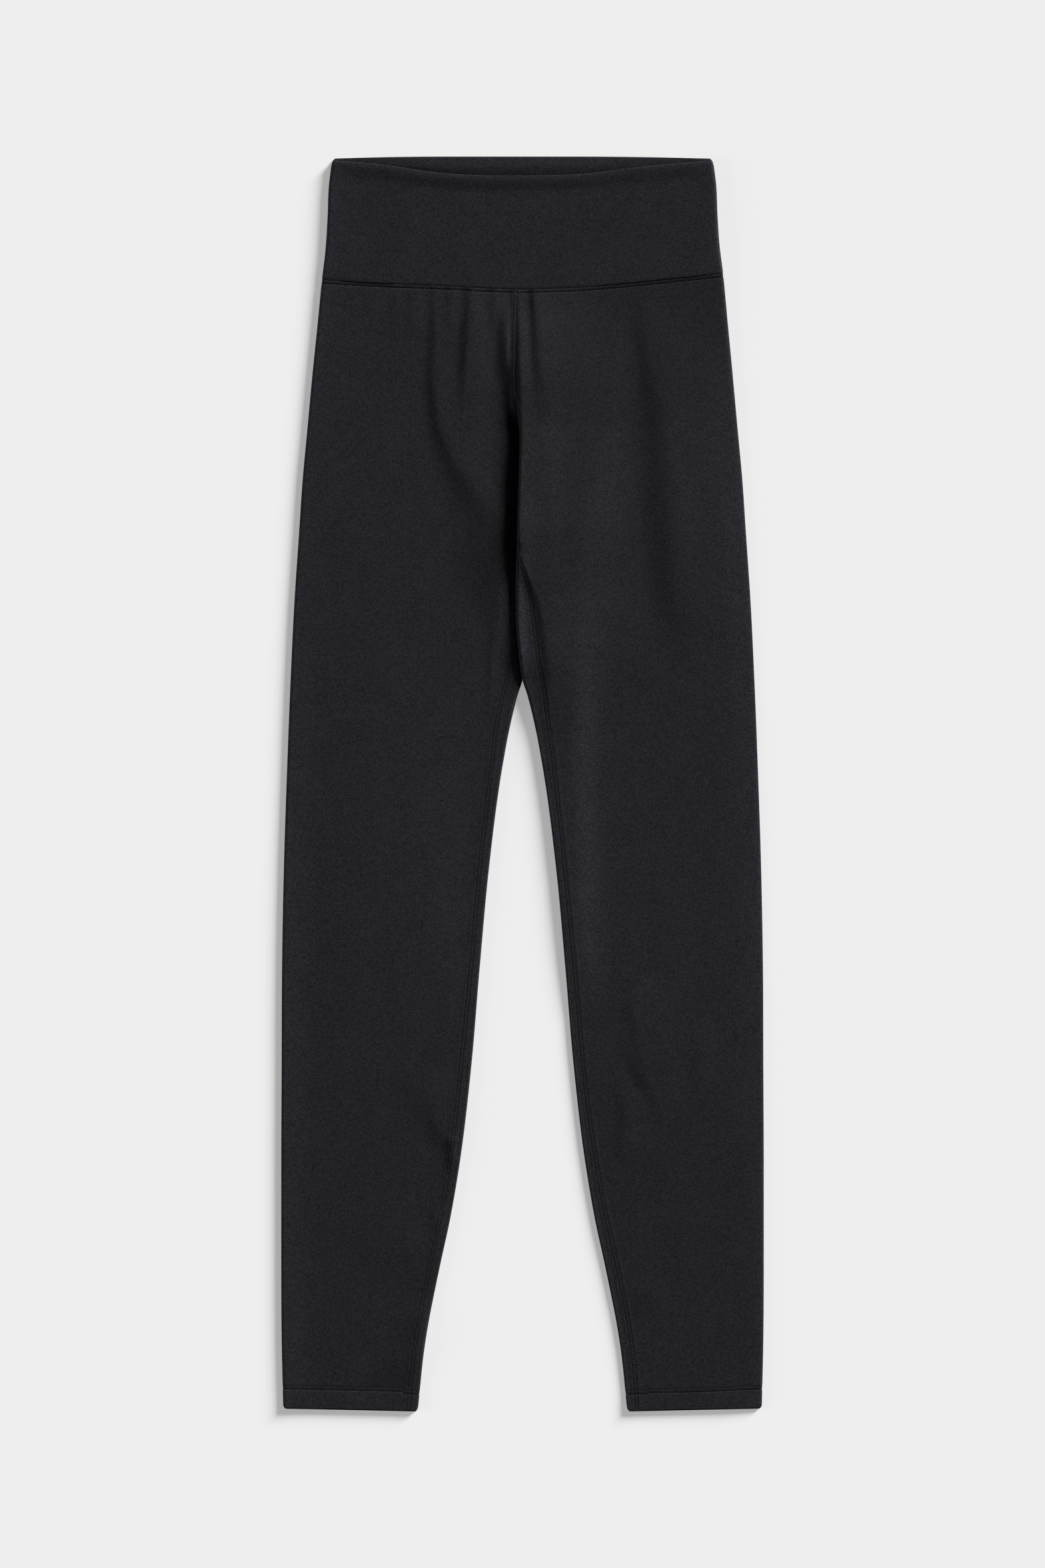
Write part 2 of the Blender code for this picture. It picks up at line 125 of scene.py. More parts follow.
# The ridge of the lapping fold on the wearer's left: its height, how far its crest lies from the centre
# line, how wide it is beyond and before the crest, and how far its rounded edge reaches
LAP = {
    "y": (382, 366, 356, 346, 332, 316, 300, 290, 275, 262, 240, 200, 180, 160, 139, 119, 99, 86, 78, 40),
    "height": (4.4, 5.4, 6.6, 7.9, 9.3, 10.5, 11, 11, 11, 11.6, 12.7, 13, 11.7, 9.3, 7.6, 7.6, 8, 7, 5.8,
               3.2),
    "crest": (4, 4.4, 4.8, 5.2, 5.6, 5.6, 5, 4.2, 2.8, 1.6, 1, 1, 1.2, 1.4, 1.6, 1.6, 1.2, 1, 1, 1),
    "beyond": (80, 90, 95, 100, 105, 110, 110, 110, 110, 110, 105, 97, 90, 78, 66, 50, 36, 30, 26, 9),
    "before": (4.6, 5.4, 6.4, 7, 7.4, 7.8, 7.6, 7.4, 6.6, 6, 5, 5, 5, 5, 5, 5, 5, 5, 5, 5),
    "nose": (2.4, 2.4, 2.4, 2.4, 2.4, 2.4, 2.4, 2.4, 2.3, 1.8, 1.3, 1.3, 1.6, 1.8, 1.8, 1.6, 1.5, 1.5, 1.5,
             1.4),
}
LAP_SHAPE = 1.3
LAP_END_Y = (20.0, 60.0)

# The lapping fold's rounded edge: the height of its underside above the crotch, the length below the
# crotch over which that comes down to the surface, the width over which the front blends into it, and
# the least share of a turn that is drawn
NOSE_LOW = 2.9
NOSE_SETTLE = 60.0
NOSE_BLEND = 4.0
LEAST_TURN = 0.01

# Where the wearer's right leg takes the height of its own inner fold, beside that fold's edge
INNER_TURN_X = 2.0

# How far the lower cloth lies low beside the fold, and over what length it then rises
VALLEY = {
    "y": (386, 190, 160, 120, 79),
    "floor": (2.5, 2.5, 1, 3, 5),
    "slope": (4, 4, 3, 5, 7.5),
}

# The levels over which it sinks so low, its height, and the more that it keeps from the crotch down
VALLEY_Y = (CROTCH_Y - 75, CROTCH_Y)
VALLEY_HEIGHT = 1.9
VALLEY_MORE = 1.0
VALLEY_MORE_Y = (CROTCH_Y + 30, CROTCH_Y)

# How far the wearer's right lies under the lapping fold
TUCK = {
    "y": (274, 258, 200, 184, 110, 86, 78),
    "under": (0, 1.6, 1.6, 0.8, 0.8, 0.2, 0),
}

# Waistband: its seam to the legs and its top edge, across the width
BAND = {
    "x": (-152, -110, -60, -5, 45, 100, 152),
    "front_seam": (382, 379.5, 377.5, 375, 376.5, 381.5, 387),
    "front_top": (473, 470, 463, 461.2, 462.5, 469, 473),
    "back_seam": (382, 382.5, 383, 383.5, 384, 385.5, 387),
    "back_top": (474, 475.1, 475.6, 475.6, 475.6, 475.1, 474),
}
BAND_SIDE = {"share": (0.0, 0.25, 0.5, 0.8, 1.0), "x": (152.2, 149.5, 148.0, 146.8, 144.6)}
BAND_PROFILE = {
    "share": (0, 0.03, 0.2, 0.55, 0.72, 0.84, 0.90, 0.945, 0.975, 1),
    "front": (4.5, 4.5, 4.5, 4.4, 4.4, 4.3, 4.7, 5.2, 5.4, 5.2),
    "side": (4.3, 4.5, 4.8, 4.9, 4.8, 4.8, 4.9, 5.1, 5.2, 5.1),
}

# Its height, as its seam's ditch and the painted highlight on its sides take it, and the rounding of its
# corners and top edge
BAND_HEIGHT = 90.0
BAND_PAINTED_LIGHT_HEIGHT = 91.0
BAND_CORNER = 2.5
BAND_CORNER_SHARE = (0.95, 1.0)
BAND_EDGE_TURN = (20, 160)
BAND_EDGE_POINTS = 8

# The back's lip, which stands up a little where the scooped front shows it, less near the sides and top
BACK_LIP_RISE = 1.5
BACK_LIP_REACH = 5.5
BACK_LIP_SIDE = (4.0, 40.0)
BACK_LIP_SHARE = (1.02, 0.90)

# Folds of the front, each a soft ridge along a line: how far its face reaches before the crest,
# towards the wearer's right, and its tail beyond the crest. Below zero it is a trough.
CREASES = (
    # Gathers under the band, on the wearer's right
    {"y": (386, 341, 311, 290, 266, 245, 225, 205, 180, 150, 120, 88),
     "x": (-66.5, -66.3, -67, -65.2, -60, -49, -35, -22, -18, -18, -18, -18),
     "height": (0.8, 2, 2.3, 2.7, 3.1, 3.4, 4.1, 4.7, 4.2, 2.8, 1, 0),
     "before": (3.4, 3.8, 4.2, 4.8, 7, 11, 16, 21, 23, 19, 14, 10),
     "beyond": (50, 60, 60, 60, 60, 50, 36, 26, 20, 18, 14, 10)},
    {"y": (386, 368, 351, 326, 306, 286, 268), "x": (-40, -40, -41, -42.5, -43.3, -43.5, -43),
     "height": (1.2, 2.2, 2.9, 2.9, 2, 0.8, 0), "before": (3.4, 3.4, 3.6, 3.8, 4.2, 5, 6),
     "beyond": (14, 16, 20, 24, 26, 26, 26)},
    {"y": (386, 366, 344), "x": (-21.5, -21.8, -22), "height": (1.3, 1.5, 0), "before": (2.8, 3, 3.4),
     "beyond": 10},
    {"y": (386, 364, 344), "x": (-96.5, -96.5, -97), "height": (0.6, 0.6, 0), "before": 3, "beyond": 11},
    {"y": (386, 360, 335), "x": (-83.5, -83.6, -84), "height": (0.6, 0.8, 0), "before": (3, 3.4, 4),
     "beyond": 11},
    {"y": (386, 366, 346), "x": (-54.5, -55, -56), "height": (0.8, 0.8, 0), "before": (2.6, 3, 3),
     "beyond": 8},
    # Beside the centre seam
    {"y": (386, 366, 340, 316, 300), "x": (-5.4, -5.4, -5.6, -5.4, -5), "height": (0.8, 0.9, 1, 0.8, 0),
     "before": (5, 4.5, 3.5, 3.5, 3.5), "beyond": 8},
    {"y": (376, 354, 338, 320, 296), "x": (-12, -12, -12, -11.6, -10), "height": (0, 2.5, 3.8, 3.4, 0),
     "before": (5, 5.4, 5.8, 6, 6), "beyond": 3},
    {"y": (386, 372, 362, 345, 321, 300, 272), "x": (9, 9.6, 10.8, 12.2, 13.6, 16, 19),
     "height": (1.6, 2.6, 3, 3.2, 2.6, 1.5, 0), "before": (3.4, 3.6, 4, 4.2, 4.6, 5, 6),
     "beyond": (26, 30, 32, 34, 34, 34, 34)},
    # Down the wearer's left leg
    {"y": (376, 350, 316, 280, 240, 200, 165, 130, 90), "x": (80, 82, 85, 87, 85, 87, 91, 97, 103),
     "height": (0, -0.9, -1.6, -2, -2.4, -2.4, -2, -1.1, 0), "before": (22, 24, 26, 28, 28, 28, 28, 26, 26),
     "beyond": (8, 9, 11, 14, 16, 16, 16, 15, 15)},
    {"y": (376, 357, 326, 291, 260, 230, 200, 165, 139, 114, 80),
     "x": (87, 89, 96, 104, 111, 115, 116, 117, 119, 123, 127),
     "height": (0, 0.8, 1.6, 2, 2.4, 2.6, 2.4, 2, 1.4, 0.7, 0),
     "before": (6, 7, 9, 12, 15, 16, 15, 14, 14, 13, 13),
     "beyond": (34, 40, 44, 46, 48, 50, 50, 50, 50, 50, 50)},
    {"y": (376, 355, 311, 271, 230, 190, 139, 89, 38, -12, -63, -113, -150, -176),
     "x": (76, 75, 68, 60, 52, 47, 41.5, 38, 36.5, 36.5, 36.5, 38, 40, 44),
     "height": (0, 0.3, 0.5, 0.7, 1, 1.5, 2.2, 2.5, 2.6, 2.6, 2.6, 2.3, 1.3, 0),
     "before": (8, 8, 10, 12, 14, 18, 30, 36, 40, 40, 40, 40, 40, 40),
     "beyond": (8, 8, 11, 13, 14, 15.5, 17, 17.5, 17.5, 17.5, 17.5, 17, 15, 12)},
    {"y": (330, 290, 250, 200, 160, 130), "x": (18, 19, 19, 20, 21, 22),
     "height": (0, 0.6, 0.9, 0.7, 0.4, 0), "before": (8, 9, 10, 10, 10, 10), "beyond": 9},
    # At the crotch
    {"y": (220, 196, 178, 164, 152, 139, 114, 90, 62, 40),
     "x": (0, 0.4, 1.4, 3.6, 8, 13, 17.5, 20, 22.5, 24),
     "height": (0, 0.4, 1.3, 2.3, 2.8, 2.8, 2.8, 2.2, 1.2, 0), "before": (4, 4, 4.2, 4.6, 5, 5, 5, 5, 5, 5),
     "beyond": (36, 36, 36, 34, 32, 30, 28, 26, 26, 26)},
    {"y": (156, 139, 115, 98, 72, 50), "x": (-16.5, -18, -21, -22.4, -23.5, -24),
     "height": (0, 0.7, 0.8, 0.8, 0.6, 0), "before": 3.5, "beyond": 6},
    # Down the wearer's right leg
    {"y": (100, 50, -10, -70, -130, -180, -250), "x": (-90, -86, -82, -78, -70, -64, -60),
     "height": (0, 0.9, 1.7, 2, 1.7, 0.8, 0), "before": 150, "beyond": (42, 42, 38, 34, 30, 26, 26)},
    # At the knee of the wearer's left leg
    {"y": (-140, -159, -184, -204, -225, -245, -275), "x": (83, 83.8, 86.4, 91.5, 96.5, 104.1, 114),
     "height": (0, 0.9, 1.3, 1.2, 1, 0.7, 0), "before": 6.5, "beyond": 24},
    {"y": (-184, -196, -210, -225, -240), "x": (77, 78.2, 83.2, 90.8, 98), "height": (0, 0.5, 0.6, 0.5, 0),
     "before": 3.6, "beyond": 8},
    {"y": (-228, -240, -260, -276, -290), "x": (79, 78.4, 76.9, 75.9, 75.5),
     "height": (0, 0.9, 1.1, 0.9, 0), "before": 4.4, "beyond": 16},
    {"y": (-180, -200, -230, -250), "x": 135.5, "height": (0, 0.6, 0.6, 0), "before": 6, "beyond": 16},
    # At the knee of the wearer's right leg
    {"y": (-212, -236, -254, -268, -278), "x": (-70, -68, -64, -60, -57), "height": (0, 1.2, 1.7, 1.2, 0),
     "before": (12, 14, 12, 9, 7), "beyond": (26, 26, 24, 18, 12)},
    {"y": (-264, -272, -283, -294), "x": (-54.5, -53.6, -53.2, -53), "height": (0, 1.6, 1.6, 0),
     "before": 4.6, "beyond": 6},
    # Down the calves and above the hem of the wearer's right leg
    {"y": (-318, -328, -338), "x": (-64, -66, -68), "height": (0, 0.9, 0), "before": 4, "beyond": 7},
    {"y": (-310, -350, -380), "x": (-92, -88, -84), "height": (0, 0.9, 0), "before": 40, "beyond": 15},
    {"y": (-370, -388, -404), "x": 98, "height": (0, 0.7, 0), "before": 16, "beyond": 8},
    {"y": (-392, -408, -422, -438, -456), "x": (-74, -75, -79, -91, -108), "height": (0, 2.2, 2.8, 2.4, 0),
     "before": (10, 11, 13, 16, 16), "beyond": 30},
)

# Folds of the back, pressed up from the surface it lies on, and how far from its seam they fade out
BACK_CREASES = tuple({**crease, "beyond": crease["before"]} for crease in (
    {"y": (370, 330, 280, 240), "x": (-62, -66, -60, -50), "height": (0.2, 0.5, 0.5, 0),
     "before": (4, 5, 6, 7)},
    {"y": (372, 345, 310), "x": (38, 41, 43), "height": (0.3, 0.4, 0), "before": (4, 4, 5)},
    {"y": (365, 300, 230, 170), "x": (84, 95, 104, 108), "height": (0.1, 0.5, 0.6, 0),
     "before": (6, 7, 8, 8)},
    {"y": (250, 190, 120, 70), "x": (-28, -40, -58, -70), "height": (0, 0.6, 0.6, 0),
     "before": (5, 6, 7, 8)},
    {"y": (230, 180, 110, 50), "x": (30, 44, 62, 78), "height": (0, 0.6, 0.5, 0), "before": (5, 6, 7, 8)},
    {"y": (-40, -120, -210), "x": (70, 84, 93), "height": (0, 0.5, 0), "before": (7, 8, 8)},
    {"y": (-60, -150, -230), "x": (-92, -80, -74), "height": (0, 0.5, 0), "before": (7, 8, 8)},
))
BACK_CREASE_FADE = 8.0

# Rows down a leg and up the band: where each stretch ends, and how many rows it has
LEG_ROWS = {
    "end": (377, 296, 248, 192, 168, 76, 43, -445, -455, -463, -472, -474.6),
    "count": (12, 32, 22, 22, 20, 38, 15, 160, 4, 16, 5, 4),
}
BAND_ROWS = {"end": (0.05, 0.7, 1.0), "count": (9, 25, 21)}

# Columns round a leg: distances from where its outer line starts and from where it ends, and the number
# between them on the front, the side, the back and the inner part, which starts off the inner edge
SEAM_STATIONS = (0, 0.5, 1.05, 1.6, 2.2, 2.9, 3.6, 4.4, 5.4, 7, 8.6, 9.8, 10.8, 11.6, 12.4, 13.2, 14, 15)
END_STATIONS = (5.4, 4.4, 3.6, 2.9, 2.2, 1.6, 1.05, 0.5)
FRONT_COLUMNS = 53
SIDE_COLUMNS = 12
BACK_COLUMNS = 22
INNER_COLUMNS = 16
INNER_LEAD = 1.5
OPEN_INNER_LEAD = 14.0

# Points of the finely drawn lines that the columns are read from. A closed section ends with its inner
# fold and the first of its front again, where its inseam lies.
LEAD_POINTS = 41
FRONT_POINTS = 240
SIDE_POINTS = 25
BACK_POINTS = 90
AGAIN_POINTS = 80
BAND_FRONT_POINTS = 124
BAND_SIDE_POINTS = 16

# Painted highlight on the pressed fold down each side, most on its turn on the wearer's right, which faces
# away from the key light
EDGE_PAINTED_LIGHT = 0.30
EDGE_PAINTED_LIGHT_REACH = 7.0
TURN_PAINTED_LIGHT = 1.4
TURN_REACH = 1.8

# Painted highlight along strips down the fronts of the legs too
PAINTED_LIGHT_STRIPS = (
    {"y": (180, 130, 89, 38, -12, -63, -113, -150, -180), "x": (57, 53, 50, 47.5, 47, 48.5, 51, 53, 55),
     "light": (0, 0.08, 0.22, 0.33, 0.34, 0.34, 0.31, 0.16, 0), "half": 9.5},
    {"y": (60, 10, -60, -130, -180, -215), "x": (-58, -60, -62, -64, -66, -66),
     "light": (0, 0.05, 0.07, 0.07, 0.04, 0), "half": 24},
)

# Painted highlight along the inner edge of each leg too: how much at the edge and over what distance
INNER_PAINTED_LIGHT = {"wearer_right": (0.22, 2.6), "wearer_left": (0.65, 3.6)}
INNER_PAINTED_LIGHT_Y = (CROTCH_Y, CROTCH_Y - 25)

# Painted shade on the front of the wearer's left leg beside the fold, from the band down
PAINTED_FRONT_SHADE = {
    "y": (386, 357, 316, 281, 240, 205, 175),
    "shade": (0.16, 0.18, 0.14, 0.10, 0.05, 0.01, 0),
}
PAINTED_FRONT_SHADE_X = (14.0, 34.0)

# Painted shade down the calves
PAINTED_CALF_SHADE = 0.10
PAINTED_CALF_SHADE_Y = (-80.0, -300.0)

# Flatlock seams: the ridge they make, the grooves of their two needle rows, and where the centre-front
# seam is rolled under the fold, out of sight
FLATLOCK_HEIGHT = 0.14
FLATLOCK_HALF = 2.4
FLATLOCK_FOOT = 2.2
NEEDLE_ROW = 1.05
NEEDLE_COLUMN = SEAM_STATIONS.index(NEEDLE_ROW)
NEEDLE_GROOVE = 0.22
NEEDLE_GROOVE_HALF = 0.45
HIDDEN_SEAM_Y = (CROTCH_Y - 10, FOLD_FULL_Y + 4)
FAR_FROM_SEAM = 99.0

# The band seam: how deep and wide the cloth sinks into it from above and below, how much of that its
# inner face follows, how far down the flatlocks fade out, and its row of stitches on the legs
BAND_DITCH = 0.25
BAND_DITCH_HALF = 0.9
BAND_DITCH_INSIDE = 0.6
LEG_DITCH = 0.22
LEG_DITCH_HALF = 3.6
BAND_CLEAR = 3.0
BAND_ROW = 2.4
BAND_ROW_GROOVE = 0.45
BAND_ROW_HALF = 0.55

# The hems' rounded lower edge
HEM_CORNER = 2.2
HEM_CORNER_LENGTH = 4.0
HEM_EDGE_ROUNDING = 0.9

# The hems' sewn line: how far it lies below its level, its small step beside the inseam, and its rise
# towards the side
HEM_LINE = {
    "wearer_right": {"below": 0.0, "step": 1.8, "step_x": (-91.5, -89.0), "rise": 0.0, "rise_x": (0, 1)},
    "wearer_left": {"below": 1.2, "step": 0.7, "step_x": (95.5, 93.5), "rise": 1.0, "rise_x": (130, 182)},
}

# Its two rows of stitches: how far above that line each lies, its groove and its needle holes
HEM_ROWS = (
    {"above": 0.0, "groove": 0.45, "half": 0.7, "hole": 0.75},
    {"above": 2.4, "groove": 0.225, "half": 0.8, "hole": 0.5},
)

# Thread: the length of a stitch from needle hole to needle hole, the share of it that shows, and its radius
INSEAM_PITCH = 1.5
CENTRE_PITCH = 1.6
FLATLOCK = {"length": 0.62, "radius": 0.2, "hole": 0.62}
FLATLOCK_BAR = {"length": 1.7, "radius": 0.19, "lift": 0.12, "from": 0.25, "to": 0.75}
HEM_STITCH = {"pitch": 1.7, "length": 0.66, "radius": 0.16}
BAND_STITCH = {"pitch": 2.0, "length": 0.6, "radius": 0.2, "hole": 1.05}
THREAD_LIFT = 0.05
HOLE_STRETCH = 1.3
THREAD_SIDES = 5
THREAD_RINGS = {
    "place": (-1.0, -0.62, 0.0, 0.62, 1.0),
    "thick": (0.35, 0.9, 1.0, 0.9, 0.35),
    "lift": (-0.9, -0.1, 0.25, -0.1, -0.9),
}
DIRECTION_REACH = 0.4

# Where the sewn lines start and stop, how far those of the back are lifted off the surface, and the row
# of a leg's grid whose places across the leg the hem's stitches take
INSEAM_TOP_Y = CROTCH_Y - 8
CENTRE_TOP_Y = BAND_SEAM_Y - 3.5
CENTRE_FRONT_END_Y = FOLD_FULL_Y - 4
CENTRE_BACK_END_Y = CROTCH_Y + 2
BACK_SEWING_LIFT = 0.15
HEM_ROW_PLACE = -14

# Colours, as linear values
KNIT_COLOUR = (0.0156, 0.0158, 0.0193)
BAND_COLOUR = (0.0158, 0.0158, 0.0197)
THREAD_COLOUR = (0.021, 0.021, 0.025)
# The needle holes are dark beads of painted shade
HOLE_SHADE_COLOUR = (0.0015, 0.0015, 0.0018)
FLOOR_COLOUR = (0.64, 0.64, 0.64)

# The knit: its finish, its grain of small cells, its wales, its soft clouds, and the share of the painted
# light and shade stored on the mesh that it takes
KNIT_FINISH = {
    "Roughness": 0.85,
    "Specular IOR Level": 0.12,
    "Sheen Weight": 0.1,
    "Sheen Roughness": 0.35,
    "Sheen Tint": (0.8, 0.8, 0.9, 1),
}
CELLS = {"Scale": 1500.0, "Smoothness": 0.5}
GRAIN = 1.12
WALES = {"scale": 700.0, "stretch": (2.0, 0.35, 1.0), "detail": 1.0, "share": 0.31}
CLOUDS = {"scale": 45.0, "stretch": (1.0, 0.7, 1.0), "detail": 2.0, "share": 0.27}
PAINTED_LIGHT_SHARE = 0.89
WALE_BUMP = {"Strength": 0.08, "Distance": 0.0002}

# Floor, light and camera. The floor's sizes are metres, and its glow is that of a light table.
FLOOR_HALF = 3.0
FLOOR_LEVEL = -0.0002
FLOOR_GLOW = 0.335
KEY = {"elevation": 18.0, "azimuth": 42.0, "angle": 21.0, "strength": 7.1}
FILL = {"elevation": 12.0, "azimuth": 186.0, "angle": 24.0, "strength": 0.8}
AMBIENT = 0.06
WHITE = (1, 1, 1, 1)
PICTURE_HEIGHT = 1189.0
LENS = 200.0
SENSOR = 36.0
CLIP_END = 50.0


def along(table, column, at):
    """Smooth value of a table's column at a level, by cubic segments with shared slopes.

    The table's first column holds the levels. A column may also be one number for all of them.
    """
    if np.ndim(table[column]) == 0:
        return np.full(np.shape(at), float(table[column]))
    xs = np.array(table[tuple(table)[0]], float)
    ys = np.array(table[column], float)
    if xs[0] > xs[-1]:
        xs, ys = xs[::-1], ys[::-1]
    at = np.clip(np.asarray(at, float), xs[0], xs[-1])
    steps = np.diff(xs)
    rises = np.diff(ys) / steps
    slopes = np.empty_like(ys)
    slopes[0], slopes[-1] = rises[0], rises[-1]
    slopes[1:-1] = (rises[:-1] * steps[1:] + rises[1:] * steps[:-1]) / (steps[:-1] + steps[1:])
    slopes[1:-1][rises[:-1] * rises[1:] <= 0] = 0
    i = np.clip(np.searchsorted(xs, at, side="right") - 1, 0, len(steps) - 1)
    t = (at - xs[i]) / steps[i]
    return (
        ys[i] * (1 + 2 * t) * (1 - t) ** 2
        + slopes[i] * steps[i] * t * (1 - t) ** 2
        + ys[i + 1] * t * t * (3 - 2 * t)
        + slopes[i + 1] * steps[i] * t * t * (t - 1)
    )


def value(table, column, at):
    """One value of a table's column, as a plain number."""
    return float(along(table, column, at))


def mixed(table, first, second, at, share):
    """Two columns of a table mixed, from the first at share 0 to the second at share 1."""
    return along(table, first, at) * (1 - share) + along(table, second, at) * share


def ease(place, start, end):
    """0 at start and 1 at end, with level ends."""
    t = np.clip((place - start) / (end - start), 0, 1)
    return t * t * (3 - 2 * t)


def bell(distance, half_width):
    """1 at no distance, falling smoothly away on both sides."""
    return np.exp(-((distance / half_width) ** 2))


def crease_offset(creases, x, y):
    """What the folds add to the height of the cloth at points x of the level y."""
    total = np.zeros_like(x)
    for crease in creases:
        if crease["y"][-1] < y < crease["y"][0]:
            past = x - along(crease, "x", y)
            before = bell(past, value(crease, "before", y))
            beyond = bell(past, value(crease, "beyond", y))
            total += along(crease, "height", y) * np.where(past > 0, beyond, before)
    return total * CREASE_RELIEF


def folded_under(y):
    """0 where the centre-front seam lies on top, 1 where it has rolled under the lapping fold."""
    return float(ease(y, FOLD_START_Y, FOLD_FULL_Y))


def centre_edge(side, y):
    """Distance from the middle of a leg's inner fold, or of its centre-front edge above the crotch."""
    if y <= SPLIT_Y:
        return value(LEG_GAP, "inner", y)
    edge = side * value(CENTRE_FRONT, "x", y) + SEAM_GAP / 2
    if side < 0:
        edge -= value(TUCK, "under", y)
    return edge


def side_height(side, y):
    """Height of the rounded fold down a leg's side."""
    return value(SIDE_HEIGHT, SIDE_NAME[side], y)


def lap_height(across, y, reach):
    """What the lapping fold's ridge adds at distances from the centre line, the wearer's left above zero.

    It comes down to nothing at the side, which is at the reach.
    """
    added = value(LAP, "height", y) - value(FRONT_HEIGHT, "height", y)
    added *= float(ease(y, *LAP_END_Y))
    crest = value(LAP, "crest", y)
    past = across - crest
    width = value(LAP, "beyond", y)
    at_side = math.exp(-((max(reach - crest, 1.0) / width) ** LAP_SHAPE))
    beyond = np.maximum(np.exp(-((np.abs(past) / width) ** LAP_SHAPE)) - at_side, 0) / (1 - at_side)
    before = bell(past, value(LAP, "before", y))
    return added * np.where(past > 0, beyond, before)


def front_height(side, outward, y, near):
    """Height of the front at distances outward from the middle, where near is the centre edge."""
    middle = value(FRONT_HEIGHT, "height", y)
    side_x = value(OUTLINE, "side", y)
    folded = folded_under(y)
    height = middle + (side_height(side, y) - middle) * bell(side_x - outward, SIDE_RISE)
    fade = ease(side_x - outward, 0.0, SIDE_FADE)
    height = height + crease_offset(CREASES, side * outward, y) * fade
    if y > SPLIT_Y:
        centre = value(CENTRE_FRONT, "x", y)
        lapping = lap_height(side * outward - centre, y, side_x - centre)
    else:
        lapping = lap_height(outward - near, y, side_x - near)
    if side > 0:
        return np.maximum(height + lapping, VALLEY_HEIGHT)
    height = height + lapping * (1 - folded)
    valley = float(ease(y, *VALLEY_Y)) * folded
    floor = VALLEY_HEIGHT + VALLEY_MORE * float(ease(y, *VALLEY_MORE_Y))
    past_floor = np.maximum(outward - near - value(VALLEY, "floor", y), 0)
    height = height - valley * (height - floor) * bell(past_floor, value(VALLEY, "slope", y))
    return np.maximum(height, VALLEY_HEIGHT)


def arc(centre, reach, up, down, start, end, count):
    """Points of an upright rounded turn in the plane of a section, by angle in degrees."""
    turn = np.radians(np.linspace(start, end, count))
    lift = np.sin(turn)
    height = centre[1] + np.where(lift > 0, up, down) * lift
    return np.column_stack((centre[0] + reach * np.cos(turn), height))


def lengths_along(points):
    """Length along a line at each of its points."""
    return np.concatenate(([0], np.cumsum(np.linalg.norm(np.diff(points, axis=0), axis=1))))


def inner_turn(side, y, near):
    """Points of the rounded start of a leg's section, where its front begins and how far it reaches."""
    def top_at(outward):
        return float(front_height(side, np.array([outward]), y, near)[0])

    turned = folded_under(y) if side > 0 else 0.0
    if y < CROTCH_Y and side < 0:
        half = top_at(near + INNER_TURN_X) / 2
        return arc((near + half, half), half, half, half, 270, 90, LEAD_POINTS), near + half, half
    reach = value(LAP, "nose", y)
    if y < CROTCH_Y:
        start = near + reach
        top = top_at(start)
        up = (top - NOSE_LOW * float(ease(y, CROTCH_Y - NOSE_SETTLE, CROTCH_Y))) / 2
        return arc((start, top - up), reach, up, top - up, 270, 90, LEAD_POINTS), start, reach
    if turned > LEAST_TURN:
        start = near + reach * math.sin(math.pi * min(turned, 0.5))
        top = top_at(start)
        seam = float(front_height(-1, np.array([-near]), y, -near)[0])
        up = (top - max(seam, NOSE_LOW)) / (1 - math.cos(math.pi * turned))
        return arc((start, top - up), reach, up, up, 90 + 180 * turned, 90, LEAD_POINTS), start, reach
    return np.array([[near, top_at(near)]]), near, 0.0


def section(side, y):
    """Outer line of a leg's section at a level, from its front edge round the side to its back edge.

    It starts at the centre-front seam and ends at the centre-back seam, and below the crotch
    both ends lie at the inseam. Returns its (outward, height) points, the length along it at
    each, and the lengths at which it starts, reaches the side fold, the back and the inner
    part, and ends.
    """
    near = centre_edge(side, y)
    side_x = value(OUTLINE, "side", y)
    half = side_height(side, y) / 2
    closed = y < CROTCH_Y
    lead, front_start, reach = inner_turn(side, y, near)
    outward = np.linspace(front_start, side_x - SIDE_FOLD_REACH, FRONT_POINTS)[1:]
    front = np.column_stack((outward, front_height(side, outward, y, near)))
    front[:, 1] += (lead[-1, 1] - front[:, 1]) * ease(outward, front_start + NOSE_BLEND, front_start)
    side_turn = arc((side_x - SIDE_FOLD_REACH, half), SIDE_FOLD_REACH, half, half, 90, -90, SIDE_POINTS)[1:]
    if closed:
        back_edge = near + reach
        back_start = back_edge + INNER_LEAD
        ending = np.vstack((lead, front[:AGAIN_POINTS]))
    else:
        back_edge = side * value(CENTRE_FRONT, "x", CROTCH_Y) * float(ease(y, BACK_SHIFT_Y, CROTCH_Y))
        back_start = back_edge + OPEN_INNER_LEAD
        ending = np.array([[back_edge, 0.0]])
    back_outward = np.linspace(side_x - SIDE_FOLD_REACH, back_start, BACK_POINTS)[1:]
    back_height = crease_offset(BACK_CREASES, side * back_outward, y)
    back_height *= ease(back_outward, back_start, back_start + BACK_CREASE_FADE)
    back = np.column_stack((back_outward, back_height))
    points = np.vstack((lead, front, side_turn, back, ending))
    lengths = lengths_along(points)
    to_side = len(lead) + len(front) - 1
    to_back = to_side + len(side_turn)
    to_inner = to_back + len(back)
    if closed:
        inmost = lengths[(LEAD_POINTS - 1) // 2]
        begin = inmost + value(INSEAM, SIDE_NAME[side], y) + SEAM_GAP / 2
        round_again = lengths[to_inner + LEAD_POINTS] - lengths[LEAD_POINTS - 1]
        finish = begin + round_again - SEAM_GAP
    else:
        begin, finish = 0.0, lengths[-1]
    return points, lengths, (begin, lengths[to_side], lengths[to_back], lengths[to_inner], finish)


def spread(start, table):
    """The rows of a table's stretches, one after the other."""
    levels = [start]
    for end, count in zip(table["end"], table["count"]):
        levels.extend(np.linspace(start, end, count + 1)[1:])
        start = end
    return np.array(levels)


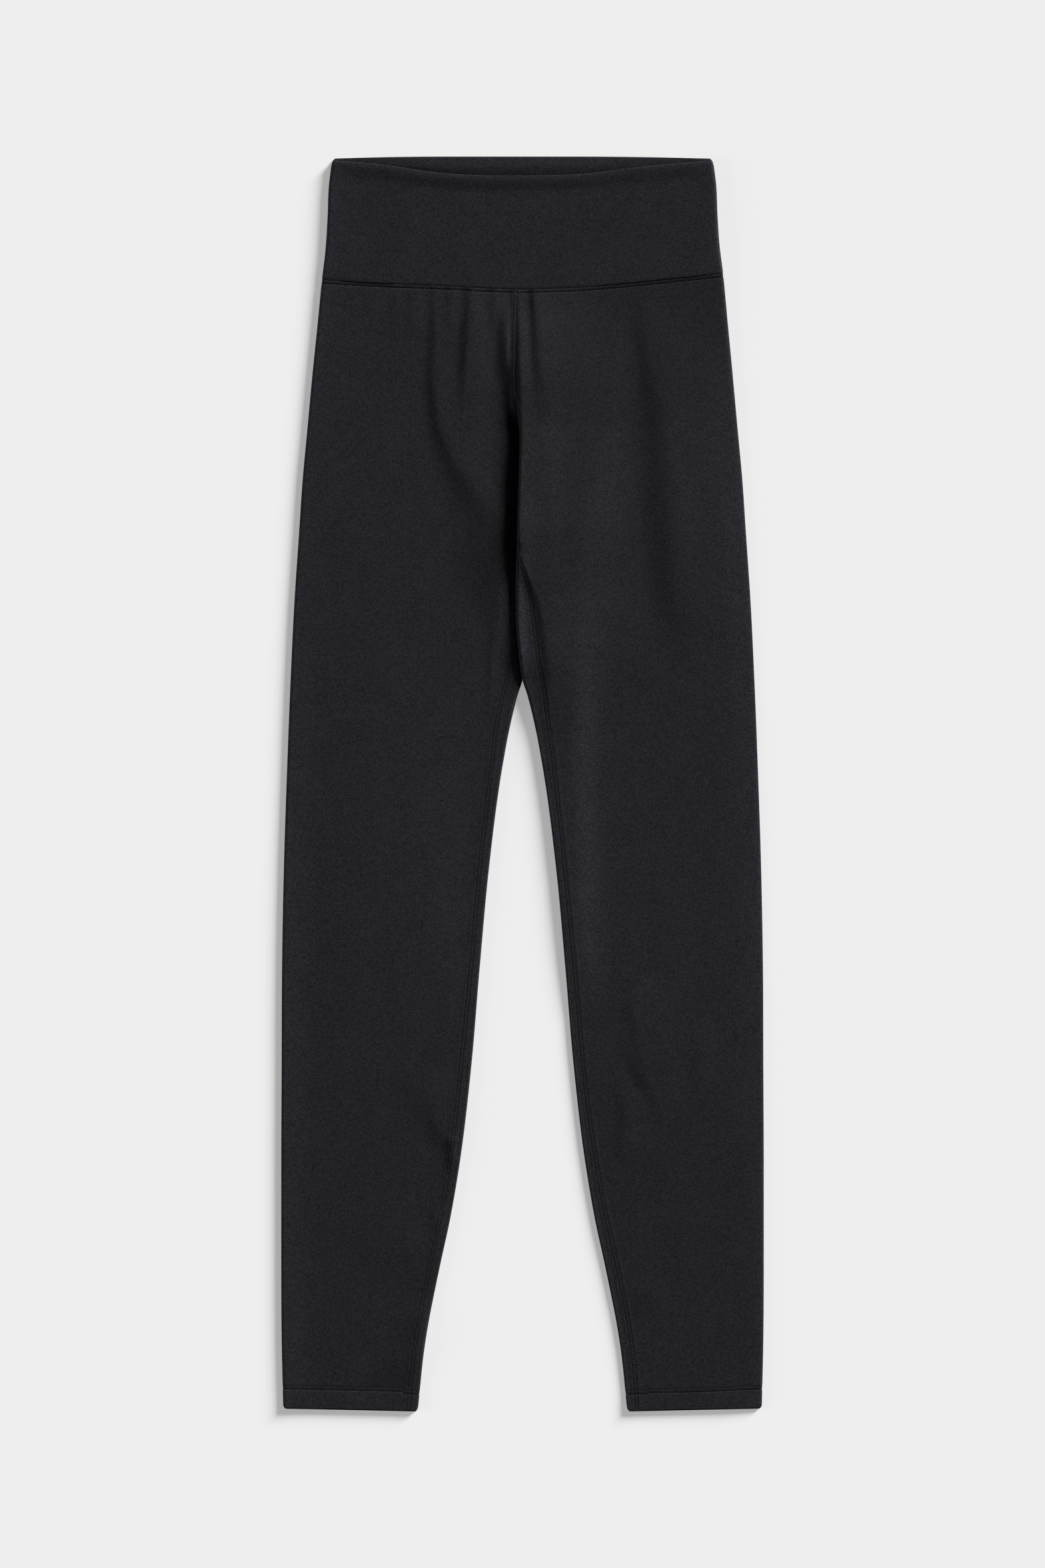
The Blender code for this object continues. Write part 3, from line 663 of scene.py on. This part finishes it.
def level_shift(x, height, y):
    """How far a point of a row lies above its level: the rows follow the band seam and the hem."""
    upper = ease(y, BAND_SEAM_Y - BAND_SLANT_LENGTH, BAND_SEAM_Y)
    front_share = np.clip(height / FRONT_LEVEL, 0, 1)
    seam = mixed(BAND, "back_seam", "front_seam", x, front_share)
    lower = ease(y, HEM_STITCH_Y + HEM_SLANT_LENGTH, HEM_STITCH_Y)
    outward = (np.abs(x) - HEM_INNER_X) / HEM_WIDTH
    return upper * (seam - SEAM_GAP - BAND_SEAM_Y) + lower * HEM_SKEW * (outward - 0.5)


def rounded(distance, radius):
    """How far an outline is cut back at a distance from a square corner that is rounded."""
    short = np.clip(radius - distance, 0, radius)
    return radius - np.sqrt(radius ** 2 - short ** 2)


def grid_normals(grid, ringed):
    """Unit normals of a grid of points. In the rows that are ringed, the two ends share one."""
    down = np.gradient(grid, axis=0)
    across = np.gradient(grid, axis=1, edge_order=2)
    across[ringed, 0] = across[ringed, -1] = grid[ringed, 1] - grid[ringed, -2]
    normal = np.cross(across, down)
    return normal / np.linalg.norm(normal, axis=2, keepdims=True)


def hem_stitch_level(side, x):
    """Level of the hem's sewn line across a leg, with its small step beside the inseam."""
    line = HEM_LINE[SIDE_NAME[side]]
    step = line["step"] * ease(x, *line["step_x"])
    rise = line["rise"] * ease(x, *line["rise_x"])
    return HEM_STITCH_Y - line["below"] + rise - step


def leg_grid(side):
    """Outer points of one leg's cloth, its inward normals, its thickness and its levels."""
    levels = spread(BAND_SEAM_Y, LEG_ROWS)
    seam = np.array(SEAM_STATIONS)
    rows = []
    for y in levels:
        points, lengths, (begin, to_side, to_back, to_inner, finish) = section(side, y)
        stations = np.concatenate((
            begin + seam,
            np.linspace(begin + seam[-1], to_side, FRONT_COLUMNS + 1)[1:],
            np.linspace(to_side, to_back, SIDE_COLUMNS + 1)[1:],
            np.linspace(to_back, to_inner, BACK_COLUMNS + 1)[1:],
            np.linspace(to_inner, finish - END_STATIONS[0], INNER_COLUMNS)[1:],
            finish - np.array(END_STATIONS[1:]),
            [finish],
        ))
        across = np.interp(stations, lengths, points[:, 0])
        height = np.interp(stations, lengths, points[:, 1])
        level = y + level_shift(side * across, height, y)
        to_tip = np.minimum(value(OUTLINE, "side", y) - across, across - centre_edge(side, y))
        level += rounded(to_tip, HEM_CORNER) * ease(y, HEM_Y + HEM_CORNER_LENGTH, HEM_Y)
        rows.append(np.column_stack((side * across, level, height)))
    outer = np.array(rows)
    tube = levels < CROTCH_Y
    inwards = grid_normals(outer, tube) * side
    outer -= inwards * seam_relief(side, outer, levels)[:, :, None]
    inwards = grid_normals(outer, tube) * side
    cloth = np.where(levels < HEM_STITCH_Y, HEM_CLOTH, LEG_CLOTH)
    return outer, inwards, cloth, levels


def from_seam(columns):
    """Distance of each column of a leg from its inseam or centre seam, along the cloth."""
    away = np.full(columns, FAR_FROM_SEAM)
    away[:len(SEAM_STATIONS)] = SEAM_STATIONS
    away[-len(END_STATIONS) - 1:] = (*END_STATIONS, 0.0)
    return away


def seam_relief(side, outer, levels):
    """How far the sewn lines raise the cloth, below zero where they draw it in."""
    away = from_seam(outer.shape[1])[None, :]
    ridge = FLATLOCK_HEIGHT * ease(away, FLATLOCK_HALF + FLATLOCK_FOOT, FLATLOCK_HALF)
    ridge = ridge - NEEDLE_GROOVE * bell(away - NEEDLE_ROW, NEEDLE_GROOVE_HALF)
    hidden = (levels > HIDDEN_SEAM_Y[0]) & (levels < HIDDEN_SEAM_Y[1])
    relief = ridge * np.where(hidden, 0.0, 1.0)[:, None] * (outer[:, :, 2] > FRONT_FLOOR)
    below_band = (BAND_SEAM_Y - levels)[:, None]
    relief = relief * ease(below_band, 0.0, BAND_CLEAR)
    relief = relief - LEG_DITCH * bell(below_band, LEG_DITCH_HALF)
    relief = relief - BAND_ROW_GROOVE * bell(below_band - BAND_ROW, BAND_ROW_HALF)
    above_line = levels[:, None] - hem_stitch_level(side, outer[:, :, 0])
    for row in HEM_ROWS:
        relief = relief - row["groove"] * bell(above_line - row["above"], row["half"])
    to_hem = (levels - HEM_Y)[:, None]
    return relief - rounded(to_hem, HEM_CLOTH / 2) * HEM_EDGE_ROUNDING


def painted_edge_light(x, side_x):
    """Painted highlight at a place: how much lighter the knit is drawn there than away from the pressed fold
    down each side.
    """
    inwards = np.maximum(side_x - np.abs(x), 0)
    turn = np.where(x < 0, TURN_PAINTED_LIGHT, 0) * bell(inwards, TURN_REACH)
    return EDGE_PAINTED_LIGHT * np.exp(-inwards / EDGE_PAINTED_LIGHT_REACH) + turn


def leg_painted_light(side, points):
    """Painted light and shade of a leg's knit at each point: how much lighter it is drawn, below zero where
    darker.
    """
    x, y, height = points.T
    front = height > FRONT_FLOOR
    light = painted_edge_light(x, along(OUTLINE, "side", y))
    light -= PAINTED_CALF_SHADE * ease(y, *PAINTED_CALF_SHADE_Y)
    light -= along(PAINTED_FRONT_SHADE, "shade", y) * ease(x, *PAINTED_FRONT_SHADE_X) * front
    for strip in PAINTED_LIGHT_STRIPS:
        past = (x - along(strip, "x", y)) / along(strip, "half", y)
        light += along(strip, "light", y) * bell(past, 1.0) * front
    most, reach = INNER_PAINTED_LIGHT[SIDE_NAME[side]]
    from_edge = np.abs(x) - along(LEG_GAP, "inner", y)
    return light + most * bell(from_edge, reach) * ease(y, *INNER_PAINTED_LIGHT_Y)


def mesh_piece(name, points, faces, materials, indices=None):
    """A smooth shaded mesh that rides on the garment's one body."""
    mesh = bpy.data.meshes.new(name)
    mesh.from_pydata((np.asarray(points) * MM).tolist(), [], faces)
    for material in materials:
        mesh.materials.append(material)
    if indices is not None:
        mesh.polygons.foreach_set("material_index", np.asarray(indices, np.int32))
    mesh.shade_smooth()
    made = bpy.data.objects.new(name, mesh)
    bpy.context.collection.objects.link(made)
    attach(made, "root")
    return made


def store_painted_light(made, amounts):
    """Stores the painted light and shade at each point, for its material to read."""
    stored = made.data.attributes.new("lighter", "FLOAT", "POINT")
    stored.data.foreach_set("value", np.asarray(amounts, np.float32))


def wall_piece(name, outer, inwards, cloth, side):
    """A closed wall of leg cloth between a grid of outer points and the same grid moved inwards."""
    inner = outer + inwards * cloth[:, None, None]
    count_rows, count_columns = outer.shape[:2]
    size = count_rows * count_columns
    index = np.arange(size).reshape(count_rows, count_columns)
    a, b, c, d = index[:-1, :-1], index[1:, :-1], index[1:, 1:], index[:-1, 1:]
    outside = np.stack((a, b, c, d), axis=-1).reshape(-1, 4)
    inside = outside[:, ::-1] + size

    def rim(line):
        return np.stack((line[:-1], line[1:], line[1:] + size, line[:-1] + size), axis=-1)

    rims = [rim(index[0]), rim(index[-1])[:, ::-1], rim(index[:, 0])[:, ::-1], rim(index[:, -1])]
    faces = np.vstack((outside, inside, *rims))
    if side < 0:
        faces = faces[:, ::-1]
    points = np.concatenate((outer.reshape(-1, 3), inner.reshape(-1, 3)))
    made = mesh_piece(name, points, faces.tolist(), [leg_knit])
    made.data.set_sharp_from_angle(angle=math.radians(60))
    # Painted light and shade of the leg, stored for its material
    store_painted_light(made, leg_painted_light(side, points))
    return made


def band_ring(share):
    """One ring of the doubled band's outer points, at a share of the way from its seam to its top."""
    side_x = value(BAND_SIDE, "x", share)
    half = value(BAND_PROFILE, "side", share) / 2
    middle = value(BAND_PROFILE, "front", share)
    flat = side_x - SIDE_FOLD_REACH
    front_x = np.linspace(-flat, flat, BAND_FRONT_POINTS)
    to_side = (2 * half - middle) * bell(side_x - np.abs(front_x), SIDE_RISE)
    front = np.column_stack((front_x, middle + to_side))
    turn = arc((flat, half), SIDE_FOLD_REACH, half, half, 90, -90, BAND_SIDE_POINTS)[1:-1]
    back_x = np.linspace(flat, -flat, BACK_POINTS)
    back = np.column_stack((back_x, np.zeros_like(back_x)))
    x, height = np.vstack((front, turn, back, turn[::-1] * (-1, 1))).T
    front_share = np.clip(height / (2 * half), 0, 1)
    seam = mixed(BAND, "back_seam", "front_seam", x, front_share)
    edge = mixed(BAND, "back_top", "front_top", x, front_share)
    level = seam + (edge - BAND_CLOTH / 2 - seam) * share
    level -= rounded(side_x - np.abs(x), BAND_CORNER) * ease(share, *BAND_CORNER_SHARE)
    above_front = mixed(BAND, "back_seam", "back_top", back_x, share) - along(BAND, "front_top", back_x)
    rise = BACK_LIP_RISE * (1 - np.exp(-np.maximum(above_front, 0) / BACK_LIP_REACH))
    rise *= ease(side_x - np.abs(back_x), *BACK_LIP_SIDE) * ease(share, *BACK_LIP_SHARE)
    first = len(front) + len(turn)
    height[first:first + len(back)] += rise
    return np.column_stack((x, level, height))


def waistband_piece():
    """The doubled band: its outer face, its rounded top edge and its inner face as one closed mesh."""
    shares = spread(0.0, BAND_ROWS)[::-1]
    outer = np.array([band_ring(share) for share in shares])
    doubled = np.concatenate((outer[:, -1:], outer, outer[:, :1]), axis=1)
    inwards = grid_normals(doubled, np.zeros(len(outer), bool))[:, 1:-1]
    above_seam = shares[:, None] * BAND_HEIGHT
    draw = BAND_DITCH * bell(above_seam, BAND_DITCH_HALF)
    outer = outer + inwards * draw[:, :, None]
    inner = outer + inwards * (BAND_CLOTH - draw * BAND_DITCH_INSIDE)[:, :, None]
    centre = (outer[0] + inner[0]) / 2
    upwards = outer[0] - outer[1]
    upwards /= np.linalg.norm(upwards, axis=1, keepdims=True)
    edge = [
        centre + (inner[0] - centre) * np.cos(turn) + upwards * BAND_CLOTH / 2 * np.sin(turn)
        for turn in np.radians(np.linspace(*BAND_EDGE_TURN, BAND_EDGE_POINTS))
    ]
    grid = np.concatenate((inner[::-1], edge, outer))
    count_rows, count_columns = grid.shape[:2]
    index = np.arange(count_rows * count_columns).reshape(count_rows, count_columns)
    below = np.roll(index, -1, axis=0)
    beside = np.roll(index, -1, axis=1)
    across = np.roll(below, -1, axis=1)
    faces = np.stack((index, below, across, beside), axis=-1).reshape(-1, 4)
    made = mesh_piece("waistband_cloth", grid.reshape(-1, 3), faces.tolist(), [band_knit])
    # Painted highlight on the band's sides, stored for its material
    share = np.clip((grid[:, :, 1] - BAND_SEAM_Y) / BAND_PAINTED_LIGHT_HEIGHT, 0, 1)
    store_painted_light(made, painted_edge_light(grid[:, :, 0], along(BAND_SIDE, "x", share)).ravel())
    return made


def stitches(places, directions, normals, length, radius):
    """Short thread lengths as one mesh's points and faces, each sunk into the cloth at its ends."""
    sideways = np.cross(normals, directions)
    turns = np.radians(np.arange(THREAD_SIDES) * 360.0 / THREAD_SIDES)
    points = []
    for place, thick, lift in zip(*THREAD_RINGS.values()):
        centre = places + directions * (place * length / 2) + normals * (lift * radius)
        for turn in turns:
            points.append(centre + (sideways * math.cos(turn) + normals * math.sin(turn)) * radius * thick)
    points = np.stack(points, axis=1)
    rings = len(THREAD_RINGS["place"])
    index = np.arange(rings * THREAD_SIDES).reshape(rings, THREAD_SIDES)
    beside = np.roll(index, -1, axis=1)
    quads = np.stack((index[:-1], beside[:-1], beside[1:], index[1:]), axis=-1).reshape(-1, 4)
    caps = np.stack((index[0, ::-1], index[-1]))
    first = (np.arange(len(places)) * index.size)[:, None, None]
    faces = (quads + first).reshape(-1, 4).tolist() + (caps + first).reshape(-1, THREAD_SIDES).tolist()
    return points.reshape(-1, 3), faces


def walk(line, normals, pitch, phase):
    """Evenly spaced places along a line, with their directions and unit normals."""
    lengths = lengths_along(line)
    at = (np.arange(int(lengths[-1] / pitch)) + phase) * pitch
    at = at[at < lengths[-1]]

    def pick(values, where):
        return np.column_stack([np.interp(where, lengths, values[:, i]) for i in range(3)])

    after = np.minimum(at + DIRECTION_REACH, lengths[-1])
    directions = pick(line, after) - pick(line, np.maximum(at - DIRECTION_REACH, 0))
    directions /= np.linalg.norm(directions, axis=1, keepdims=True)
    return pick(line, at), directions, square_to(directions, pick(normals, at))


def square_to(directions, normals):
    """Unit normals with what points along the directions taken out."""
    squared = normals - directions * np.sum(normals * directions, axis=1, keepdims=True)
    return squared / np.linalg.norm(squared, axis=1, keepdims=True)


class Sewing:
    """Thread and needle holes gathered for one joined mesh."""

    def __init__(self):
        self.points, self.faces, self.indices, self.count = [], [], [], 0

    def add(self, made, index):
        """Adds points and faces in the material of that index: 0 is thread and 1 a needle hole, a dark bead
        of painted shade.
        """
        points, faces = made
        self.points.append(points)
        self.faces.extend([[corner + self.count for corner in face] for face in faces])
        self.indices.extend([index] * len(faces))
        self.count += len(points)

    def row(self, line, normals, pitch, length, radius, hole):
        """A row of lockstitches with a needle hole, a dark bead of painted shade, between each two. The
        length is a share of the pitch.
        """
        places, directions, outward = walk(line, normals, pitch, 0.5)
        self.add(stitches(places + outward * THREAD_LIFT, directions, outward, pitch * length, radius), 0)
        places, directions, outward = walk(line, normals, pitch, 1.0)
        self.add(stitches(places, directions, outward, hole * HOLE_STRETCH, hole / 2), 1)

    def flatlock(self, right, left, pitch):
        """Two needle rows, each a line and its normals, with the looper's thread crossing between them."""
        self.row(*right, pitch, **FLATLOCK)
        self.row(*left, pitch, **FLATLOCK)
        starts, _, normals = walk(*right, pitch, FLATLOCK_BAR["from"])
        ends, _, _ = walk(*left, pitch, FLATLOCK_BAR["to"])
        count = min(len(starts), len(ends))
        starts, ends, normals = starts[:count], ends[:count], normals[:count]
        bars = ends - starts
        directions = bars / np.linalg.norm(bars, axis=1, keepdims=True)
        middle = (starts + ends) / 2 + normals * FLATLOCK_BAR["lift"]
        outward = square_to(directions, normals)
        self.add(stitches(middle, directions, outward, FLATLOCK_BAR["length"], FLATLOCK_BAR["radius"]), 0)

    def piece(self, name):
        """The joined mesh of all that was added."""
        made = mesh_piece(name, np.concatenate(self.points), self.faces, [thread, needle_hole_shade], self.indices)


def needle_line(grid, rows, column, lift=0.0):
    """One column of a leg's grid in the given rows, as a line to sew and its normals."""
    outer, normals, _ = grid
    return outer[rows, column] + (0, 0, lift), normals[rows, column]


def sew_inseam(side, grid):
    """The flatlock down a leg, where the two long edges of its panel meet."""
    tube = grid[2] < INSEAM_TOP_Y
    sewing = Sewing()
    lines = [needle_line(grid, tube, column) for column in (NEEDLE_COLUMN, -1 - NEEDLE_COLUMN)]
    sewing.flatlock(*lines, INSEAM_PITCH)
    sewing.piece("inseam_stitching_" + SIDE_NAME[side])


def sew_hem(side, grid):
    """The two rows of stitches that hold a turned hem, read between the rows of the leg's grid."""
    outer, normals, levels = grid
    columns = np.arange(outer.shape[1])
    sewing = Sewing()
    for row in HEM_ROWS:
        sewn = hem_stitch_level(side, outer[HEM_ROW_PLACE, :, 0]) + row["above"]
        place = np.interp(-sewn, -levels, np.arange(len(levels)))
        low = place.astype(int)
        part = (place - low)[:, None]
        line = outer[low, columns] * (1 - part) + outer[low + 1, columns] * part
        sewing.row(line, normals[low, columns], **HEM_STITCH, hole=row["hole"])
    sewing.piece("hem_stitching_" + SIDE_NAME[side])


def sew_centre(right, left):
    """The flatlocks of the centre front, down to where it rolls under the fold, and of the centre back."""
    levels = left[2]
    sewing = Sewing()
    for end_y, column, lift in (
        (CENTRE_FRONT_END_Y, NEEDLE_COLUMN, 0.0), (CENTRE_BACK_END_Y, -1 - NEEDLE_COLUMN, BACK_SEWING_LIFT),
    ):
        rows = (levels > end_y) & (levels < CENTRE_TOP_Y)
        lines = [needle_line(grid, rows, column, lift) for grid in (right, left)]
        sewing.flatlock(*lines, CENTRE_PITCH)
    sewing.piece("centre_seam_stitching")


def sew_waist(right, left):
    """The row of stitches round both legs, just below the band."""
    sewing = Sewing()
    for outer, normals, levels in (right, left):
        row = int(np.argmin(np.abs(levels - (BAND_SEAM_Y - BAND_ROW))))
        sewing.row(outer[row], normals[row], **BAND_STITCH)
    sewing.piece("waist_seam_stitching")


def set_sockets(node, values):
    """Sets a node's sockets to constant values."""
    for name, constant in values.items():
        node.inputs[name].default_value = constant


def math_node(tree, operation, *inputs):
    """The output of a maths node whose inputs are numbers or other nodes' outputs."""
    made = tree.nodes.new("ShaderNodeMath")
    made.operation = operation
    for socket, source in enumerate(inputs):
        if isinstance(source, (int, float)):
            made.inputs[socket].default_value = source
        else:
            tree.links.new(source, made.inputs[socket])
    return made.outputs[0]


def noise(tree, coordinates, scale, stretch, detail, share):
    """A stretched noise between 0 and 1, and its departure from the middle times its share."""
    mapping = tree.nodes.new("ShaderNodeMapping")
    mapping.inputs["Scale"].default_value = stretch
    tree.links.new(coordinates, mapping.inputs["Vector"])
    made = tree.nodes.new("ShaderNodeTexNoise")
    set_sockets(made, {"Scale": scale, "Detail": detail})
    tree.links.new(mapping.outputs["Vector"], made.inputs["Vector"])
    departure = math_node(tree, "SUBTRACT", made.outputs["Fac"], 0.5)
    return made.outputs["Fac"], math_node(tree, "MULTIPLY", departure, share)


def knit_material(name, colour):
    """Fine stretch knit: a matt cloth with a close grain and faint wales down its length."""
    made = bpy.data.materials.new(name)
    made.use_nodes = True
    tree = made.node_tree
    shader = tree.nodes["Principled BSDF"]
    set_sockets(shader, KNIT_FINISH)
    coordinates = tree.nodes.new("ShaderNodeTexCoord").outputs["Object"]
    cells = tree.nodes.new("ShaderNodeTexVoronoi")
    cells.feature = "SMOOTH_F1"
    set_sockets(cells, CELLS)
    tree.links.new(coordinates, cells.inputs["Vector"])
    parts = tree.nodes.new("ShaderNodeSeparateColor")
    tree.links.new(cells.outputs["Color"], parts.inputs["Color"])
    grain = math_node(tree, "MULTIPLY_ADD", parts.outputs["Red"], GRAIN, 1 - GRAIN / 2)
    wale, wales = noise(tree, coordinates, **WALES)
    _, clouds = noise(tree, coordinates, **CLOUDS)
    amount = math_node(tree, "ADD", grain, math_node(tree, "ADD", wales, clouds))
    # Painted light and shade, stored on each mesh, make the colour lighter or darker
    stored = tree.nodes.new("ShaderNodeAttribute")
    stored.attribute_name = "lighter"
    painted = math_node(tree, "MULTIPLY_ADD", stored.outputs["Fac"], PAINTED_LIGHT_SHARE, 1.0)
    scaled = tree.nodes.new("ShaderNodeVectorMath")
    scaled.operation = "SCALE"
    scaled.inputs[0].default_value = colour
    tree.links.new(math_node(tree, "MULTIPLY", amount, painted), scaled.inputs["Scale"])
    tree.links.new(scaled.outputs["Vector"], shader.inputs["Base Color"])
    bump = tree.nodes.new("ShaderNodeBump")
    set_sockets(bump, WALE_BUMP)
    tree.links.new(wale, bump.inputs["Height"])
    tree.links.new(bump.outputs["Normal"], shader.inputs["Normal"])
    return made


def plain_material(name, colour, roughness, specular):
    """An even material of one colour."""
    made = bpy.data.materials.new(name)
    made.use_nodes = True
    sockets = {"Base Color": (*colour, 1), "Roughness": roughness, "Specular IOR Level": specular}
    set_sockets(made.node_tree.nodes["Principled BSDF"], sockets)
    return made


def sun(name, elevation, azimuth, angle, strength):
    """A far lamp at an elevation above the floor, with the angle its disc fills."""
    lamp = bpy.data.lights.new(name, "SUN")
    lamp.energy = strength
    lamp.angle = math.radians(angle)
    made = bpy.data.objects.new(name, lamp)
    made.rotation_euler = (0, math.radians(90 - elevation), math.radians(azimuth))
    bpy.context.scene.collection.objects.link(made)


leg_knit = knit_material("leg_knit", KNIT_COLOUR)
band_knit = knit_material("waistband_knit", BAND_COLOUR)
thread = plain_material("black_thread", THREAD_COLOUR, 0.6, 0.2)
# Needle holes drawn as dark beads: painted shade
needle_hole_shade = plain_material("needle_hole_shade", HOLE_SHADE_COLOUR, 1.0, 0.0)

# The legs and what is sewn on them
grids = []
for side in (-1, 1):
    node = "leg_" + SIDE_NAME[side]
    outer, inwards, cloth, levels = leg_grid(side)
    leg = wall_piece(node + "_cloth", outer, inwards, cloth, side)
    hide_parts(node)
    grid = (outer, -inwards, levels)
    sew_inseam(side, grid)
    sew_hem(side, grid)
    grids.append(grid)

# The waistband and the seams that join the pieces
band = waistband_piece()
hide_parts("waistband")
sew_centre(*grids)
sew_waist(*grids)

# Floor
scene = bpy.context.scene
scene.view_settings.view_transform = "Standard"
floor_mesh = bpy.data.meshes.new("floor")
corners = [(x * FLOOR_HALF, y * FLOOR_HALF, 0) for x, y in ((-1, -1), (1, -1), (1, 1), (-1, 1))]
floor_mesh.from_pydata(corners, [], [(0, 1, 2, 3)])
floor = bpy.data.objects.new("floor", floor_mesh)
floor.location.z = FLOOR_LEVEL
scene.collection.objects.link(floor)
floor_paint = plain_material("light_table", FLOOR_COLOUR, 1.0, 0.0)
glow = {"Emission Color": WHITE, "Emission Strength": FLOOR_GLOW}
set_sockets(floor_paint.node_tree.nodes["Principled BSDF"], glow)
floor_mesh.materials.append(floor_paint)

# Light
sun("key", **KEY)
sun("fill", **FILL)
world = bpy.data.worlds.new("studio")
world.use_nodes = True
set_sockets(world.node_tree.nodes["Background"], {"Color": WHITE, "Strength": AMBIENT})
scene.world = world

# Camera, straight above, at the distance where the picture's height fills it
camera_data = bpy.data.cameras.new("camera")
camera_data.lens = LENS
camera_data.sensor_width = SENSOR
camera_data.clip_end = CLIP_END
camera = bpy.data.objects.new("camera", camera_data)
camera.location = (0, 0, PICTURE_HEIGHT * MM * LENS / SENSOR)
scene.collection.objects.link(camera)
scene.camera = camera
